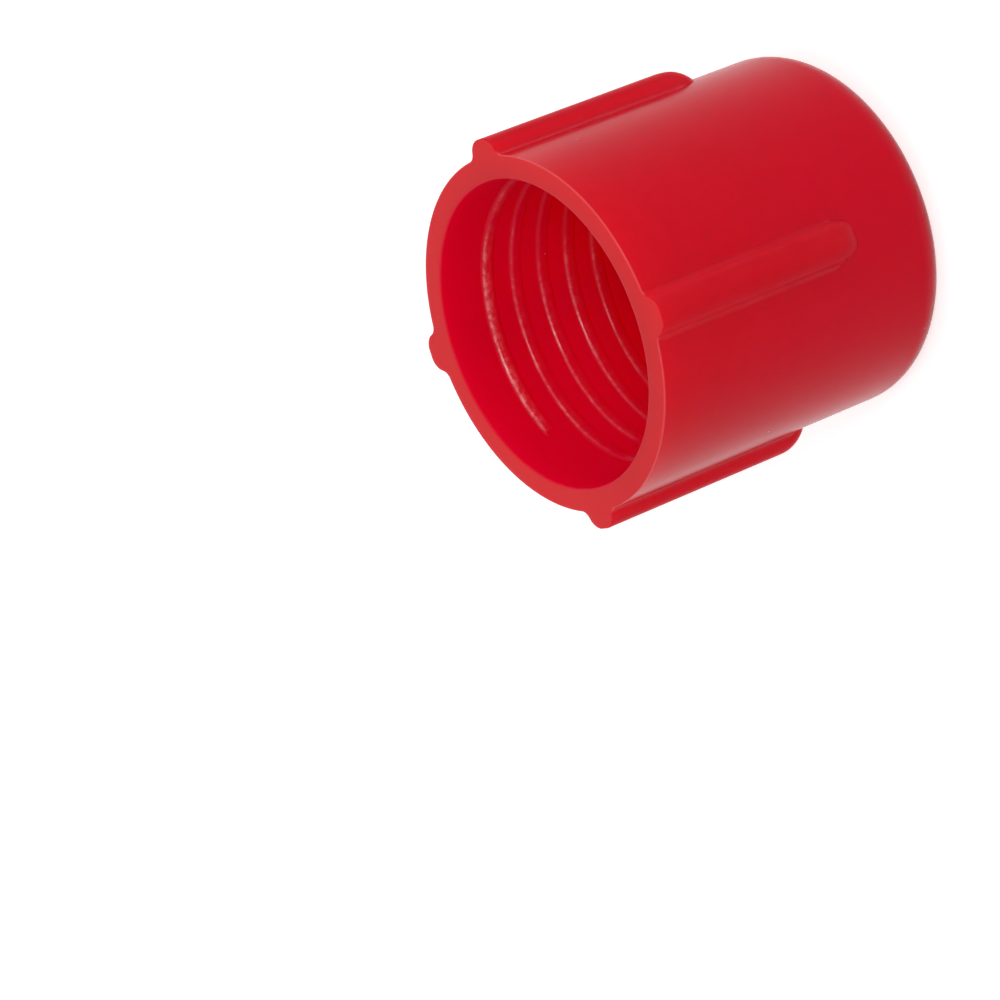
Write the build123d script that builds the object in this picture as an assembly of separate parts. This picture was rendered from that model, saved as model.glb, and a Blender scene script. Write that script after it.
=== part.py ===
from build123d import *
import math
import os

# A screw-on protection cap for the threaded end of a pipe or fitting, moulded in one piece.
# Millimetres. The cap stands on its closed end: the origin is the centre of that end, and +Z is
# the cap's axis, pointing out of the mouth. One of the grip ribs lies along +X.

# Shell
bore_diameter = 22.5         # mouth, at the plain lead-in
wall_thickness = 1.75        # at the rim
cap_height = 26.8            # closed end to rim
end_wall = 2.0               # thickness of the closed end
shoulder_radius = 2.7        # outside, from the side to the closed end
floor_chamfer = 0.6          # inside, from the bore to the closed end
rim_chamfer = 0.25           # inner edge of the rim; the outer one is the mould's parting line

# Mouth: behind the rim the bore runs straight, then tapers to the root of the thread
lead_in = 1.8                # rim to the end of the straight stretch
taper_length = 0.8
taper_step = 0.08            # how much the taper takes off the bore's radius

# Internal thread: one right-hand ridge with a flat crest
thread_pitch = 2.5
thread_turns = 6
thread_height = 0.32         # crest above root
thread_crest_width = 0.75
thread_flank_angle = 45      # degrees, between each flank and the section's middle line
thread_start_depth = 3.60    # rim to the middle of the crest, at the outer end of the ridge
thread_start_angle = 131     # degrees round the axis from +X, at the same end
thread_run_out = 7           # degrees, over which each end of the ridge sinks into the wall
thread_seat = 0.15           # how far the ridge's section reaches behind the root

# Grip ribs
rib_count = 4
rib_width = 2.6
rib_height = 1.25            # crest above the side
rib_length = 18.7            # rim to the point where the end of the rib meets the side
rib_end_radius = 3.1         # arc that brings the crest down to the side
rib_crest_radius = 1.0       # rounding along both edges of the crest

# Gate mark: a shallow round recess in the closed end, with the stub of the gate inside it
recess_diameter = 3.2
recess_depth = 0.40
stub_diameter = 0.80
stub_clearance = 0.10        # the stub stays this far above the face that the cap stands on

# Sizes that follow from these
bore_radius = bore_diameter / 2
side_radius = bore_radius + wall_thickness
root_radius = bore_radius - taper_step
crest_radius = root_radius - thread_height


def revolved(*outline):
    """Solid of revolution about Z of a closed outline of (radius, height) points."""
    points = [(radius, 0, height) for radius, height in outline]
    return revolve(make_face(Polyline(*points, close=True)), Axis.Z)


def upright(radius, height):
    """A cylinder on the axis that stands on the plane of the closed end."""
    return Cylinder(radius, height, align=(Align.CENTER, Align.CENTER, Align.MIN))


def lowest_circle(solid):
    return solid.edges().filter_by(GeomType.CIRCLE).sort_by(Axis.Z)[0]


def make_bore():
    """The hollow: the lead-in, the taper behind it, the root of the thread and the floor."""
    bore = revolved(
        (0, end_wall),
        (root_radius, end_wall),
        (root_radius, cap_height - lead_in - taper_length),
        (bore_radius, cap_height - lead_in),
        (bore_radius, cap_height),
        (0, cap_height),
    )
    return chamfer(lowest_circle(bore), floor_chamfer)


def make_rib():
    """The rib along +X: an upright fin whose crest curves down to the side at its end."""
    root = (bore_radius + side_radius) / 2           # the fin starts inside the wall
    crest = side_radius + rib_height
    arc_centre = crest - rib_end_radius
    # the crest turns into the arc where the arc then meets the side at the rib's full length
    meeting_angle = math.acos((side_radius - arc_centre) / rib_end_radius)
    arc_start = cap_height - rib_length + rib_end_radius * math.sin(meeting_angle)
    root_angle = math.acos((root - arc_centre) / rib_end_radius)

    def on_arc(angle):
        along = rib_end_radius * math.cos(angle)
        down = rib_end_radius * math.sin(angle)
        return (arc_centre + along, 0, arc_start - down)

    outline = [
        Line((root, 0, cap_height), (crest, 0, cap_height)),
        Line((crest, 0, cap_height), on_arc(0)),
        ThreePointArc(on_arc(0), on_arc(root_angle / 2), on_arc(root_angle)),
        Line(on_arc(root_angle), (root, 0, cap_height)),
    ]
    fin = extrude(make_face(outline), rib_width / 2, dir=(0, 1, 0), both=True)
    flank_edges = fin.faces().filter_by(Axis.Y).edges()
    crest_edges = flank_edges.sort_by(Axis.X)[-2:]
    end_edges = flank_edges.filter_by(GeomType.CIRCLE)
    return fillet(crest_edges + end_edges, rib_crest_radius)


def make_shell():
    """The body with its round shoulder and its ribs, hollowed out from the mouth."""
    shell = upright(side_radius, cap_height)
    shell = fillet(lowest_circle(shell), shoulder_radius)
    for place in PolarLocations(0, rib_count):
        shell += place * make_rib()
    shell -= make_bore()
    rim = shell.faces().sort_by(Axis.Z)[-1]
    return chamfer(rim.inner_wires()[0].edges(), rim_chamfer)


def thread_section(angle, sunk=0):
    """The ridge's section at an angle from its inner end, its crest lowered by sunk."""
    centre = cap_height - thread_start_depth - (thread_turns - angle / 360) * thread_pitch
    back = root_radius + thread_seat
    crest_half = thread_crest_width / 2
    back_half = crest_half + (back - crest_radius) * math.tan(math.radians(thread_flank_angle))
    outline = Polyline(
        (crest_radius + sunk, 0, -crest_half),
        (crest_radius + sunk, 0, crest_half),
        (back, 0, back_half),
        (back, 0, -back_half),
        close=True,
    )
    return Pos(0, 0, centre) * Rot(0, 0, thread_start_angle + angle) * make_face(outline)


def make_thread():
    """The helical ridge, with a wedge at each end that sinks its crest into the wall."""
    rise = thread_turns * thread_pitch
    turned = thread_turns * 360
    inner_end = Pos(0, 0, cap_height - thread_start_depth - rise) * Rot(0, 0, thread_start_angle)
    path = inner_end * Helix(thread_pitch, rise, root_radius)
    ridge = sweep(thread_section(0), path=path, is_frenet=True)
    ridge += loft([thread_section(-thread_run_out, thread_height), thread_section(0)])
    ridge += loft([thread_section(turned), thread_section(turned + thread_run_out, thread_height)])
    return ridge


def make_gate_mark():
    """The recess of the gate mark, less the stub that stands in it."""
    stub_height = recess_depth - stub_clearance
    stub = Pos(0, 0, stub_clearance) * upright(stub_diameter / 2, stub_height)
    return upright(recess_diameter / 2, recess_depth) - stub


os.makedirs("parts", exist_ok=True)
cap = make_shell() + make_thread() - make_gate_mark()
export_step(cap, "parts/cap.step")
print(f"cap: {len(cap.solids())} solid, {cap.volume:.1f} mm3, {cap.bounding_box().size}")
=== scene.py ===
import bmesh
import bpy
import math
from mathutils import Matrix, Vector


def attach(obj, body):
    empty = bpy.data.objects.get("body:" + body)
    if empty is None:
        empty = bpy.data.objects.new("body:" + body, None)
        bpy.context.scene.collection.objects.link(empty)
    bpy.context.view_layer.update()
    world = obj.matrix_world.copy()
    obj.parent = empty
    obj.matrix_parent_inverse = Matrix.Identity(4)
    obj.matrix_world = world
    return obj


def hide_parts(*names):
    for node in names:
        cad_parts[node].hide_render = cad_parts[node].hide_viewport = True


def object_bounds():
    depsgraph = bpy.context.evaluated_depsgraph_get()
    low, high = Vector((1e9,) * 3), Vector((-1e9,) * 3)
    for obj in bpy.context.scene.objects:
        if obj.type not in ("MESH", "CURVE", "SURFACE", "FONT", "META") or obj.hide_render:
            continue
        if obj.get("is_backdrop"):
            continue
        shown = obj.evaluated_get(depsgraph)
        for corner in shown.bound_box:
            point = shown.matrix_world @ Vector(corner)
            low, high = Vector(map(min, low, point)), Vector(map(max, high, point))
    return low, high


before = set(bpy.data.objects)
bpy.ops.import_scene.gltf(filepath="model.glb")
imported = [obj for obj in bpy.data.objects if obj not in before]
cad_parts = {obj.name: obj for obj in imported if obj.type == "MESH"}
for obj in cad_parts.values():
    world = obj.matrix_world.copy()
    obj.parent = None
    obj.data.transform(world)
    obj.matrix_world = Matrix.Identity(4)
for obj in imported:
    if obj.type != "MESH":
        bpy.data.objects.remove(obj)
cad_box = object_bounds()

# A screw cap moulded in one piece, with an internal thread and four grip ribs. It stands on its
# closed end with the mouth up. Z is its axis, and one rib lies along +X. Lengths are in metres,
# and a round thing's size is its radius unless its name says otherwise.
MM = 0.001

# ---------------------------------------------------------------- camera
CAMERA_PLACE = Vector((35.23, -295.91, 228.02)) * MM
CAMERA_TURN = Vector((-30.762, 50.776, -118.934)) * math.pi / 180
CAMERA_LENS = 186.56             # focal length in millimetres, as the sensor's width is
SENSOR_WIDTH = 36.0
NEAREST_SEEN = 0.01
FARTHEST_SEEN = 20


def make_camera():
    data = bpy.data.cameras.new("camera")
    data.lens = CAMERA_LENS
    data.sensor_width = SENSOR_WIDTH
    data.clip_start = NEAREST_SEEN
    data.clip_end = FARTHEST_SEEN
    camera = bpy.data.objects.new("camera", data)
    camera.location = CAMERA_PLACE
    camera.rotation_euler = CAMERA_TURN
    bpy.context.collection.objects.link(camera)
    bpy.context.scene.camera = camera


make_camera()

# ---------------------------------------------------------------- sizes of the shell
HEIGHT = 26.8 * MM
SPARE = 0.5 * MM                 # what is built above the rim, to be cut off again
SIDE = 13.0 * MM
SIDE_FACETS = 256
SHOULDER_ROUND = 2.7 * MM        # from the side to the closed end
SHOULDER_STEPS = 14

BORE = 11.25 * MM                # at the mouth
ROOT = 11.17 * MM                # at the root of the thread
LEAD_IN = 1.8 * MM               # straight stretch behind the rim
TAPER = 0.8 * MM                 # from the lead-in to the thread's root
FLOOR = 2.0 * MM                 # height of the bore's floor
FLOOR_ROUND = 0.6 * MM
FLOOR_STEPS = 4

RIM_INNER_ROUND = 0.22 * MM
RIM_OUTER_ROUND = 0.10 * MM
RIM_STEPS = 3

RECESS = 1.6 * MM                # the gate mark, in the closed end
RECESS_DEPTH = 0.4 * MM
RECESS_ROUND = 0.1 * MM
RECESS_STEPS = 3
STUB = 0.4 * MM                  # the stub that stands in it
STUB_CLEAR = 0.1 * MM            # from the stub to the closed end's face

# ---------------------------------------------------------------- sizes of the ribs
RIB_COUNT = 4
RIB_LENGTH = 18.7 * MM           # from the rim to where the crest meets the side
RIB_BASE = 12.0 * MM             # the back of the rib, inside the wall
RIB_FOOT = 12.901 * MM           # where the flanks start, just under the side
RIB_CREST = 14.25 * MM
RIB_FOOT_HALF = 1.52 * MM        # half widths
RIB_CREST_HALF = 1.12 * MM
RIB_FOOT_ROUND = 0.52 * MM
RIB_CREST_ROUND = 0.82 * MM
RIB_ROUND_STEPS = 8
RIB_PLATE_HALF = 2.20 * MM       # the rib stands on a plate that follows the side's curve
RIB_PLATE_DROP = 0.099 * MM      # how far the plate's edges lie below its middle
RIB_END_ARC = 3.1 * MM           # brings the crest down to the side
RIB_END_SWING = math.radians(65)
RIB_END_STEPS = 20

# ---------------------------------------------------------------- sizes of the thread
PITCH = 2.5 * MM
TURNS = 6
TURN_STEPS = 128                 # in each turn
START_DEPTH = 3.6 * MM           # from the rim to the middle of the crest, at the outer end
START_ANGLE = math.radians(131)
CREST = 10.85 * MM
CREST_HALF = 0.375 * MM          # half width
CREST_ROUND = 0.20 * MM
CREST_STEPS = 5
SEAT = 0.15 * MM                 # how far the ridge reaches into the wall
RIDGE_DEPTH = ROOT + SEAT - CREST
RIDGE_REACH = 0.9 * MM           # the whole section lies within this of its middle, along Z
STEEPER = 0.5                    # a flank at 45 degrees runs its depth along Z, the upper one less
RUN_OUT = math.radians(4)        # the turn over which each end sinks into the wall
RUN_OUT_STEPS = 4

# ---------------------------------------------------------------- what counts as the same
SAME = 0.01 * MM                 # two places nearer than this
SAME_EXACT = 0.0001 * MM         # the same, where nothing has shifted a place yet
SAME_FINE = 0.002 * MM           # the same, on the rim after it is cut
SAME_COARSE = 0.03 * MM          # the same, on the radius of a circle with facets
FLAT = math.radians(0.05)        # two faces that meet at less than this are made one
SOFT_EDGE = math.radians(28)     # an edge below this is shaded smooth


# ---------------------------------------------------------------- modelling helpers
def activate(piece):
    """Makes a piece the active one and the only one chosen."""
    bpy.ops.object.select_all(action="DESELECT")
    piece.select_set(True)
    bpy.context.view_layer.objects.active = piece


def start_piece(name):
    """The active object becomes a piece, in edit mode with nothing chosen."""
    piece = bpy.context.object
    piece.name = name
    bpy.ops.object.mode_set(mode="EDIT")
    bpy.ops.mesh.select_all(action="DESELECT")
    return piece


def end_piece():
    bpy.ops.object.mode_set(mode="OBJECT")
    bpy.ops.object.select_all(action="DESELECT")


def apply_modifier(piece, kind, **settings):
    activate(piece)
    modifier = piece.modifiers.new(kind.lower(), kind)
    for name, value in settings.items():
        setattr(modifier, name, value)
    bpy.ops.object.modifier_apply(modifier=modifier.name)


def radius(p):
    return math.hypot(p.x, p.y)


def near(a, b, slack=SAME):
    return abs(a - b) < slack


def pick(kind, test):
    """Chooses only the verts, edges or faces whose every corner passes the test."""
    bpy.ops.mesh.select_mode(type={"verts": "VERT", "edges": "EDGE", "faces": "FACE"}[kind])
    bpy.ops.mesh.select_all(action="DESELECT")
    mesh = bmesh.from_edit_mesh(bpy.context.edit_object.data)
    for item in getattr(mesh, kind):
        corners = [item] if kind == "verts" else item.verts
        if all(test(corner.co) for corner in corners):
            item.select_set(True)
    mesh.select_flush_mode()
    bmesh.update_edit_mesh(bpy.context.edit_object.data)


def keep_upright():
    """Of the chosen edges, keeps those that run along Z."""
    mesh = bmesh.from_edit_mesh(bpy.context.edit_object.data)
    for edge in mesh.edges:
        if edge.select and radius(edge.verts[0].co - edge.verts[1].co) > SAME_EXACT:
            edge.select_set(False)
    mesh.select_flush_mode()
    bmesh.update_edit_mesh(bpy.context.edit_object.data)


def extrude(offset, size=None):
    """Extrudes what is chosen by an offset. A size then scales its new end about the origin."""
    bpy.ops.mesh.extrude_region_move(TRANSFORM_OT_translate={"value": offset})
    if size:
        bpy.ops.transform.resize(value=size, center_override=(0, 0, 0))


def face_outwards():
    bpy.ops.mesh.select_all(action="SELECT")
    bpy.ops.mesh.normals_make_consistent(inside=False)


def add_block(low, high):
    """A block between two corners, with its place in its mesh."""
    bpy.ops.object.select_all(action="DESELECT")
    bpy.ops.mesh.primitive_cube_add(size=1)
    block = bpy.context.object
    block.location = (Vector(low) + Vector(high)) / 2
    block.scale = Vector(high) - Vector(low)
    bpy.ops.object.transform_apply()
    return block


def turn(piece, angle):
    """Turns a piece about the cap's axis, in its mesh."""
    activate(piece)
    piece.rotation_euler = (0, 0, angle)
    bpy.ops.object.transform_apply()


def turned_copies(piece, count):
    """The piece and its copies, evenly round the axis, each with its own mesh."""
    pieces = [piece]
    for number in range(1, count):
        copy = piece.copy()
        copy.data = piece.data.copy()
        bpy.context.collection.objects.link(copy)
        turn(copy, number * math.tau / count)
        pieces.append(copy)
    return pieces


def combine(body, tool, operation):
    """A Boolean of two pieces. The tool is used up."""
    apply_modifier(body, "BOOLEAN", operation=operation, solver="EXACT", object=tool)
    bpy.data.objects.remove(tool)


# ---------------------------------------------------------------- the cap
def make_shell():
    """The body: a tall cup with its bore, floor, round shoulder and gate mark."""
    tall = HEIGHT + SPARE
    bpy.ops.object.select_all(action="DESELECT")
    bpy.ops.mesh.primitive_cylinder_add(
        vertices=SIDE_FACETS, radius=SIDE, depth=tall, location=(0, 0, tall / 2))
    bpy.ops.object.transform_apply()
    shell = start_piece("cap_body")

    # the bore, from the mouth down
    pick("faces", lambda p: near(p.z, tall))
    bpy.ops.mesh.inset(thickness=SIDE - BORE)
    extrude((0, 0, -LEAD_IN - SPARE))
    extrude((0, 0, -TAPER), (ROOT / BORE, ROOT / BORE, 1))
    extrude((0, 0, FLOOR - (HEIGHT - LEAD_IN - TAPER)))
    pick("edges", lambda p: near(p.z, FLOOR) and near(radius(p), ROOT))
    bpy.ops.mesh.bevel(offset=FLOOR_ROUND, segments=FLOOR_STEPS, affect="EDGES")

    # the shoulder
    pick("edges", lambda p: near(p.z, 0))
    bpy.ops.mesh.bevel(offset=SHOULDER_ROUND, segments=SHOULDER_STEPS, affect="EDGES")

    # the gate mark
    pick("faces", lambda p: near(p.z, 0))
    bpy.ops.mesh.inset(thickness=SIDE - SHOULDER_ROUND - RECESS)
    extrude((0, 0, RECESS_DEPTH))
    bpy.ops.mesh.inset(thickness=RECESS - STUB)
    extrude((0, 0, STUB_CLEAR - RECESS_DEPTH))
    pick("edges", lambda p: near(p.z, 0) and near(radius(p), RECESS, SAME_COARSE))
    bpy.ops.mesh.bevel(offset=RECESS_ROUND, segments=RECESS_STEPS, affect="EDGES")
    end_piece()
    return shell


def make_rib():
    """The rib along +X: a bar with a round crest and filleted feet, its end swung inwards."""
    meeting_angle = math.acos((SIDE - RIB_CREST + RIB_END_ARC) / RIB_END_ARC)
    arc_start = HEIGHT - RIB_LENGTH + RIB_END_ARC * math.sin(meeting_angle)
    top = HEIGHT + 2 * SPARE

    # the plate, cut in three along its length, its outer edges bent back to follow the side
    add_block((RIB_BASE, -RIB_PLATE_HALF, arc_start), (RIB_FOOT, RIB_PLATE_HALF, top))
    rib = start_piece("rib")
    for side in (-1, 1):
        bpy.ops.mesh.select_all(action="SELECT")
        bpy.ops.mesh.bisect(plane_co=(0, side * RIB_FOOT_HALF, 0), plane_no=(0, 1, 0))
    pick("verts", lambda p: near(p.x, RIB_FOOT) and near(abs(p.y), RIB_PLATE_HALF))
    bpy.ops.transform.translate(value=(-RIB_PLATE_DROP, 0, 0))

    # the bar on it, narrower at its crest
    pick("faces", lambda p: near(p.x, RIB_FOOT) and abs(p.y) < RIB_FOOT_HALF + SAME)
    extrude((RIB_CREST - RIB_FOOT, 0, 0), (1, RIB_CREST_HALF / RIB_FOOT_HALF, 1))
    pick("edges", lambda p: near(p.x, RIB_CREST) and near(abs(p.y), RIB_CREST_HALF))
    keep_upright()
    bpy.ops.mesh.bevel(offset=RIB_CREST_ROUND, segments=RIB_ROUND_STEPS, affect="EDGES")
    pick("edges", lambda p: near(p.x, RIB_FOOT) and near(abs(p.y), RIB_FOOT_HALF))
    keep_upright()
    bpy.ops.mesh.bevel(offset=RIB_FOOT_ROUND, segments=RIB_ROUND_STEPS, affect="EDGES")

    # its lower end, swung into the wall
    pick("faces", lambda p: near(p.z, arc_start))
    swing_centre = (RIB_CREST - RIB_END_ARC, 0, arc_start)
    bpy.ops.mesh.spin(
        steps=RIB_END_STEPS, angle=RIB_END_SWING, center=swing_centre, axis=(0, -1, 0))
    face_outwards()
    end_piece()
    return rib


def make_ridge():
    """The thread's ridge: its section, screwed round the axis, with a run-out at each end."""
    inner_end = HEIGHT - START_DEPTH - TURNS * PITCH
    outer_end = inner_end + TURNS * PITCH
    back_half = CREST_HALF + RIDGE_DEPTH

    # the section at the inner end: a rectangle, narrowed at its crest
    bpy.ops.object.select_all(action="DESELECT")
    bpy.ops.mesh.primitive_plane_add(size=1)
    section = bpy.context.object
    section.rotation_euler = (math.pi / 2, 0, 0)
    section.location = (CREST + RIDGE_DEPTH / 2, 0, inner_end)
    section.scale = (RIDGE_DEPTH, 2 * back_half, 1)
    bpy.ops.object.transform_apply()
    ridge = start_piece("ridge")
    pick("verts", lambda p: near(p.x, CREST))
    bpy.ops.transform.resize(
        value=(1, 1, CREST_HALF / back_half), center_override=(CREST, 0, inner_end))
    pick("verts", lambda p: near(p.x, CREST + RIDGE_DEPTH) and p.z > inner_end)
    bpy.ops.transform.translate(value=(0, 0, -STEEPER * RIDGE_DEPTH))
    pick("verts", lambda p: near(p.x, CREST))
    bpy.ops.mesh.bevel(offset=CREST_ROUND, segments=CREST_STEPS, affect="VERTICES")
    bpy.ops.mesh.select_all(action="SELECT")
    bpy.ops.mesh.delete(type="ONLY_FACE")
    end_piece()

    apply_modifier(ridge, "SCREW", screw_offset=PITCH, iterations=TURNS,
                   steps=TURN_STEPS, render_steps=TURN_STEPS)

    # the ends are closed, then drawn on along the helix while they sink into the wall
    start_piece("ridge")
    sink = 1 + (ROOT - CREST) / RUN_OUT_STEPS / CREST
    for end, way in ((inner_end, -1), (outer_end, 1)):
        pick("verts", lambda p: (
            near(p.y, 0, SAME_EXACT) and p.x > 0 and near(p.z, end, RIDGE_REACH)))
        bpy.ops.mesh.edge_face_add()
        angle = way * RUN_OUT / RUN_OUT_STEPS
        for step in range(RUN_OUT_STEPS):
            extrude((0, 0, angle / math.tau * PITCH), (sink, sink, 1))
            bpy.ops.transform.rotate(value=-angle, orient_axis="Z", center_override=(0, 0, 0))
    face_outwards()
    end_piece()
    turn(ridge, START_ANGLE)
    return ridge


def make_cap():
    """Shell, ribs and ridge in one, cut off at the rim, whose edges are then rounded."""
    cap = make_shell()
    for rib in turned_copies(make_rib(), RIB_COUNT):
        combine(cap, rib, "UNION")
    combine(cap, make_ridge(), "UNION")
    above_rim = add_block((-20 * MM, -20 * MM, HEIGHT), (20 * MM, 20 * MM, HEIGHT + 10 * MM))
    combine(cap, above_rim, "DIFFERENCE")

    start_piece("cap_body")
    bpy.ops.mesh.select_all(action="SELECT")
    bpy.ops.mesh.remove_doubles(threshold=SAME_FINE)
    bpy.ops.mesh.dissolve_limited(angle_limit=FLAT, delimit={"NORMAL"})
    pick("edges", lambda p: near(p.z, HEIGHT, SAME_FINE) and near(radius(p), BORE, SAME_COARSE))
    bpy.ops.mesh.bevel(offset=RIM_INNER_ROUND, segments=RIM_STEPS, affect="EDGES")
    pick("edges", lambda p: near(p.z, HEIGHT, SAME_FINE) and radius(p) > SIDE - SAME_COARSE)
    bpy.ops.mesh.bevel(offset=RIM_OUTER_ROUND, segments=RIM_STEPS, affect="EDGES")
    end_piece()

    activate(cap)
    bpy.ops.object.shade_smooth_by_angle(angle=SOFT_EDGE)
    apply_modifier(cap, "WEIGHTED_NORMAL", keep_sharp=True)
    return cap


# ---------------------------------------------------------------- shader helpers
class Value:
    """A socket in an expression. Each operator adds its Math node."""

    def __init__(self, tree, socket):
        self.tree = tree
        self.socket = socket

    def math(self, operation, *others, swap=False):
        values = [self, *others]
        if swap:
            values.reverse()
        inputs = dict(enumerate(values))
        return self.tree.node("ShaderNodeMath", {"operation": operation}, inputs).out()

    def __add__(self, other):
        return self.math("ADD", other)

    def __sub__(self, other):
        return self.math("SUBTRACT", other)

    def __rsub__(self, other):
        return self.math("SUBTRACT", other, swap=True)

    def __mul__(self, other):
        return self.math("MULTIPLY", other)

    def __pow__(self, other):
        return self.math("POWER", other)

    def __rpow__(self, other):
        return self.math("POWER", other, swap=True)

    __radd__ = __add__
    __rmul__ = __mul__


class Node:
    """A node whose outputs are taken by name or place."""

    def __init__(self, tree, node):
        self.tree = tree
        self.node = node

    def out(self, key=0):
        return Value(self.tree, self.node.outputs[key])


class Tree:
    """A material's or world's nodes, emptied and then filled by node()."""

    def __init__(self, owner):
        owner.use_nodes = True
        self.nodes = owner.node_tree.nodes
        self.links = owner.node_tree.links
        self.nodes.clear()

    def node(self, kind, settings=None, inputs=None):
        """Adds a node: its type, its settings, and its sockets' values or links."""
        made = self.nodes.new(kind)
        for name, value in (settings or {}).items():
            setattr(made, name, value)
        for key, value in (inputs or {}).items():
            if isinstance(value, Value):
                self.links.new(value.socket, made.inputs[key])
            else:
                made.inputs[key].default_value = value
        return Node(self, made)

    def ramp(self, value, start, end):
        """0 where the value is at the start, 1 where it is at the end, smooth between."""
        settings = {"interpolation_type": "SMOOTHSTEP"}
        inputs = {"Value": value, "From Min": start, "From Max": end}
        return self.node("ShaderNodeMapRange", settings, inputs).out()

    def blend(self, amount, first, second):
        """The first colour where the amount is 0, the second where it is 1."""
        inputs = {"Factor": amount, 6: first, 7: second}
        return self.node("ShaderNodeMix", {"data_type": "RGBA"}, inputs).out(2)

    def shown(self):
        """1 where a thing is seen, mirrored or seen through glass, 0 where it only lights."""
        path = self.node("ShaderNodeLightPath")
        kinds = ("Is Camera Ray", "Is Glossy Ray", "Is Transmission Ray")
        camera, glossy, through = (path.out(kind) for kind in kinds)
        return camera + glossy + through


# ---------------------------------------------------------------- the cap's finish
DEEP = (0.485, 0.0004, 0.0105, 1)          # the two reds of the plastic's clouds
PLAIN = (0.550, 0.0008, 0.0125, 1)
LOW_PAINTED_LIGHT = (0.680, 0.0006, 0.0150, 1)         # painted light: lighter low on the side, offsetting the shade near the floor
INNER = (0.560, 0.0004, 0.0230, 1)         # in the bore, at the mouth
INNER_PAINTED_LIGHT = (0.720, 0.0016, 0.0320, 1)   # painted light in the bore, far down, offsetting the shade there
RIB_PAINTED_SHADE = (0.440, 0.0010, 0.0105, 1)         # painted shade on the ribs, toning down their lit crests
FLANK_PAINTED_LIGHT = (0.660, 0.0050, 0.0190, 1)        # painted light on the ribs' flanks, offsetting the shade at their feet
MATT = (0.570, 0.0080, 0.0140, 1)          # on the rim's face
PALE = (0.800, 0.2200, 0.2300, 1)          # chafed plastic and dust, and painted highlights on the thread's crests and the rim's edge

RELIEF = 0.03 * MM                         # height of the bump
GLOW_DEPTH = 15 * MM                       # how far red light travels in the plastic


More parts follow.
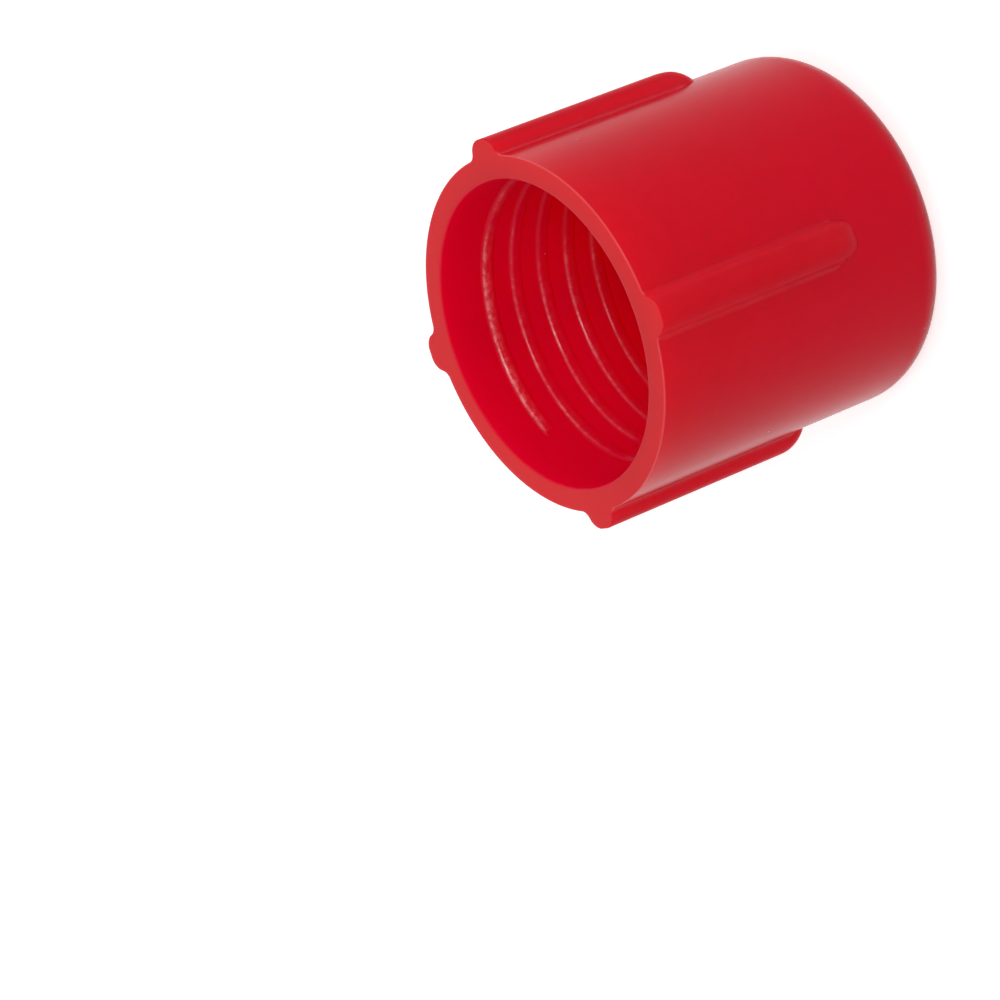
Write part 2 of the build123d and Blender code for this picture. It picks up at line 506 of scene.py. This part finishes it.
def red_polyethylene():
    """Waxy moulded plastic: a cloudy red, matt on the rim, chafed along the thread with painted
    highlights on its crests, with painted light low on the side, deep in the bore and on the ribs'
    flanks, and painted shade on the ribs.
    """
    material = bpy.data.materials.new("red_polyethylene")
    tree = Tree(material)
    ramp, blend = tree.ramp, tree.blend
    place = tree.node("ShaderNodeTexCoord").out("Object")
    split = tree.node("ShaderNodeSeparateXYZ", {}, {0: place})
    x, y, z = split.out("X"), split.out("Y"), split.out("Z")
    from_axis = (x * x + y * y) ** 0.5

    def below_rim(start, end):
        """A ramp between two depths below the rim, in millimetres."""
        return ramp(z, HEIGHT - start * MM, HEIGHT - end * MM)

    def past_side(start, end):
        """A ramp between two distances outwards from the side, in millimetres."""
        return ramp(from_axis, SIDE + start * MM, SIDE + end * MM)

    def noise(scale, detail=2.0):
        """A noise with so many cells to the metre."""
        inputs = {"Vector": place, "Scale": scale, "Detail": detail}
        return tree.node("ShaderNodeTexNoise", {}, inputs).out("Fac")

    # the parts of the shell
    inside = past_side(-0.9, -1.3)
    deep_inside = below_rim(2, 15)
    low = ramp(z, HEIGHT, 3 * MM)
    rim = below_rim(0.08, 0.02)
    rim_edge = below_rim(0.16, 0.10) * below_rim(0, 0.02)
    # a pale line along the rim's outer edge: a painted highlight where the edge catches the light
    rim_edge_glint = rim_edge * past_side(-0.14, -0.09) * past_side(0.3, 0.05)

    # the ribs
    rib = past_side(0.02, 0.35) * below_rim(0, 0.02)
    flank = past_side(0.08, 0.35) * past_side(1.05, 0.65)
    rib_end_height = HEIGHT - RIB_LENGTH
    rib_end = rib * ramp(z, rib_end_height + 7 * MM, rib_end_height + 2 * MM)

    # the thread: across runs from -0.5 to 0.5 of the pitch, with 0 on the middle of the crest
    crest = ramp(from_axis, CREST + 0.20 * MM, CREST + 0.10 * MM)
    crest = crest * ramp(z, FLOOR + 1 * MM, FLOOR + 2 * MM)
    turns = y.math("ARCTAN2", x) * (1 / math.tau)
    first_crest = (HEIGHT - START_DEPTH) / PITCH - START_ANGLE / math.tau
    across = (z * (1 / PITCH) - turns + (0.5 - first_crest)).math("FRACT") - 0.5
    crest_edge = crest * ramp(across, 0.09, 0.13) * ramp(across, 0.20, 0.16)
    crest_land = crest * ramp(across, -0.16, 0.14)
    first_turn = below_rim(5.8, 5.0)

    # clouds in the plastic, mottling and grain on it, chafing mixed with painted highlights that
    # are heaviest towards +Y, and a little dust
    cloud = noise(110.0)
    mottle = noise(900.0, 3.0)
    grain = noise(5200.0, 1.0)
    chafe = ramp(noise(2400.0) * 0.7 + mottle * 0.3, 0.44, 0.62)
    # towards +Y, where the key lamp glints on the thread: the crests' painted highlights are
    # heaviest there
    towards_glints = y * 0.97 - x * 0.24
    glint_side = ramp(towards_glints, 7.0 * MM, 10.4 * MM)
    wear_and_glints = ramp(noise(170.0), 0.38, 0.62) * 0.6 + glint_side * 0.4
    cell = tree.node("ShaderNodeTexVoronoi", {"feature": "F1"}, {"Vector": place, "Scale": 240.0})
    dust = ramp(cell.out("Distance"), 0.024, 0.012)

    colour = blend(ramp(cloud * 0.5 + mottle * 0.3 + grain * 0.2, 0.3, 0.7), DEEP, PLAIN)
    # painted light: lighter towards the closed end, offsetting the shade near the floor
    colour = blend(low * 0.75, colour, LOW_PAINTED_LIGHT)
    # in the bore: far down it, painted light offsetting the shade there
    colour = blend(inside, colour, blend(deep_inside, INNER, INNER_PAINTED_LIGHT))
    # painted shade on the ribs, toning down their lit crests
    colour = blend(rib * 0.8, colour, RIB_PAINTED_SHADE)
    # painted light on the ribs' flanks, offsetting the shade at their feet
    colour = blend(flank * 0.5, colour, FLANK_PAINTED_LIGHT)
    colour = blend(rim, colour, MATT)
    # painted highlights along the thread's crest edges and lands, broken up by chafing, broadest
    # on the first turn's land
    edge_glint_and_chafing = crest_edge * (wear_and_glints * 0.09 + chafe * wear_and_glints * 0.16)
    land_glint_and_chafing = (crest_land * (0.5 + first_turn * 1.5)
                    * (wear_and_glints * 0.05 + chafe * wear_and_glints * 0.20))
    # pale marks: painted highlights on the thread and the rim's edge, with mottling on the ribs
    # and dust
    pale_marks_and_glints = (edge_glint_and_chafing + land_glint_and_chafing + rim_edge_glint * 0.24
                + (rib + rib_end) * mottle * 0.02 + dust * 0.6)
    colour = blend(pale_marks_and_glints, colour, PALE)

    rough = (0.23 + cloud * 0.05 + rim * 0.16 + rib * (0.24 + rim_edge * 0.25)
             + crest_land * 0.10 - crest_edge * 0.12 + dust * 0.3)
    relief = (cloud * 0.4 + mottle * (0.10 + rib * 0.2 + rib_end * 0.5)
              + grain * (0.02 + rim * 0.1 + rib * 0.15) + chafe * crest_land * 0.35)
    bump = tree.node("ShaderNodeBump", {}, {
        "Strength": 0.4,
        "Distance": RELIEF,
        "Height": relief,
    }).out()

    shader = tree.node("ShaderNodeBsdfPrincipled", {}, {
        "Base Color": colour,
        "Roughness": rough,
        "Specular IOR Level": 0.085,
        "Coat Weight": crest_edge * (0.04 + wear_and_glints * 0.40 + chafe * wear_and_glints * 0.50),
        "Coat Roughness": 0.20,
        "Subsurface Weight": 1.0,
        "Subsurface Radius": (1.0, 0.1, 0.1),
        "Subsurface Scale": GLOW_DEPTH,
        "Normal": bump,
    }).out()
    tree.node("ShaderNodeOutputMaterial", {}, {"Surface": shader})
    return material


# ---------------------------------------------------------------- floor, lamps and room
WHITE = (1, 1, 1, 1)
FLOOR_WIDTH = 6.0
FLOOR_GREY = (0.66, 0.66, 0.66, 1)
FLOOR_LIFT = 0.62                # added to the floor as seen or mirrored, but not to its light
ROOM_LIGHT = 0.54
ROOM_LIFT = 0.46                 # added to the room in the same way
LAMP_DISTANCE = 0.5              # from the middle of the cap


def make_floor():
    bpy.ops.object.select_all(action="DESELECT")
    bpy.ops.mesh.primitive_plane_add(size=FLOOR_WIDTH)
    floor = bpy.context.object
    floor.name = "floor"
    material = bpy.data.materials.new("pale_floor")
    tree = Tree(material)
    glow = tree.shown() * FLOOR_LIFT
    paper = tree.node("ShaderNodeBsdfDiffuse", {}, {"Color": FLOOR_GREY}).out()
    lift = tree.node("ShaderNodeEmission", {}, {"Color": WHITE, "Strength": glow}).out()
    both = tree.node("ShaderNodeAddShader", {}, {0: paper, 1: lift}).out()
    tree.node("ShaderNodeOutputMaterial", {}, {"Surface": both})
    floor.data.materials.append(material)
    floor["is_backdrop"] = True


def make_lamp(name, azimuth, elevation, width, watts):
    """A square lamp that faces the cap. Its direction from the cap is in degrees."""
    azimuth, elevation = math.radians(azimuth), math.radians(elevation)
    way = Vector((
        math.cos(azimuth) * math.cos(elevation),
        math.sin(azimuth) * math.cos(elevation),
        math.sin(elevation),
    ))
    data = bpy.data.lights.new(name, "AREA")
    data.size = width
    data.energy = watts
    lamp = bpy.data.objects.new(name, data)
    lamp.location = Vector((0, 0, HEIGHT / 2)) + way * LAMP_DISTANCE
    lamp.rotation_euler = way.to_track_quat("Z", "Y").to_euler()
    bpy.context.collection.objects.link(lamp)


def make_room():
    world = bpy.data.worlds.new("room")
    bpy.context.scene.world = world
    tree = Tree(world)
    strength = ROOM_LIGHT + tree.shown() * ROOM_LIFT
    room = tree.node("ShaderNodeBackground", {}, {"Color": WHITE, "Strength": strength}).out()
    tree.node("ShaderNodeOutputWorld", {}, {"Surface": room})


cap = make_cap()
cap.data.materials.clear()
cap.data.materials.append(red_polyethylene())
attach(cap, "root")
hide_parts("cap")

make_floor()
make_room()
make_lamp("key", azimuth=-74, elevation=34, width=0.14, watts=0.92)
make_lamp("side", azimuth=-35, elevation=18, width=0.3, watts=0.42)
make_lamp("fill", azimuth=190, elevation=30, width=0.3, watts=0.22)
make_lamp("back", azimuth=97, elevation=20, width=0.3, watts=0.27)

bpy.context.scene.view_settings.view_transform = "Standard"

boxes = {"cad": cad_box, "visual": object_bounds()}
{name: [list(corner) for corner in box] for name, box in boxes.items()}
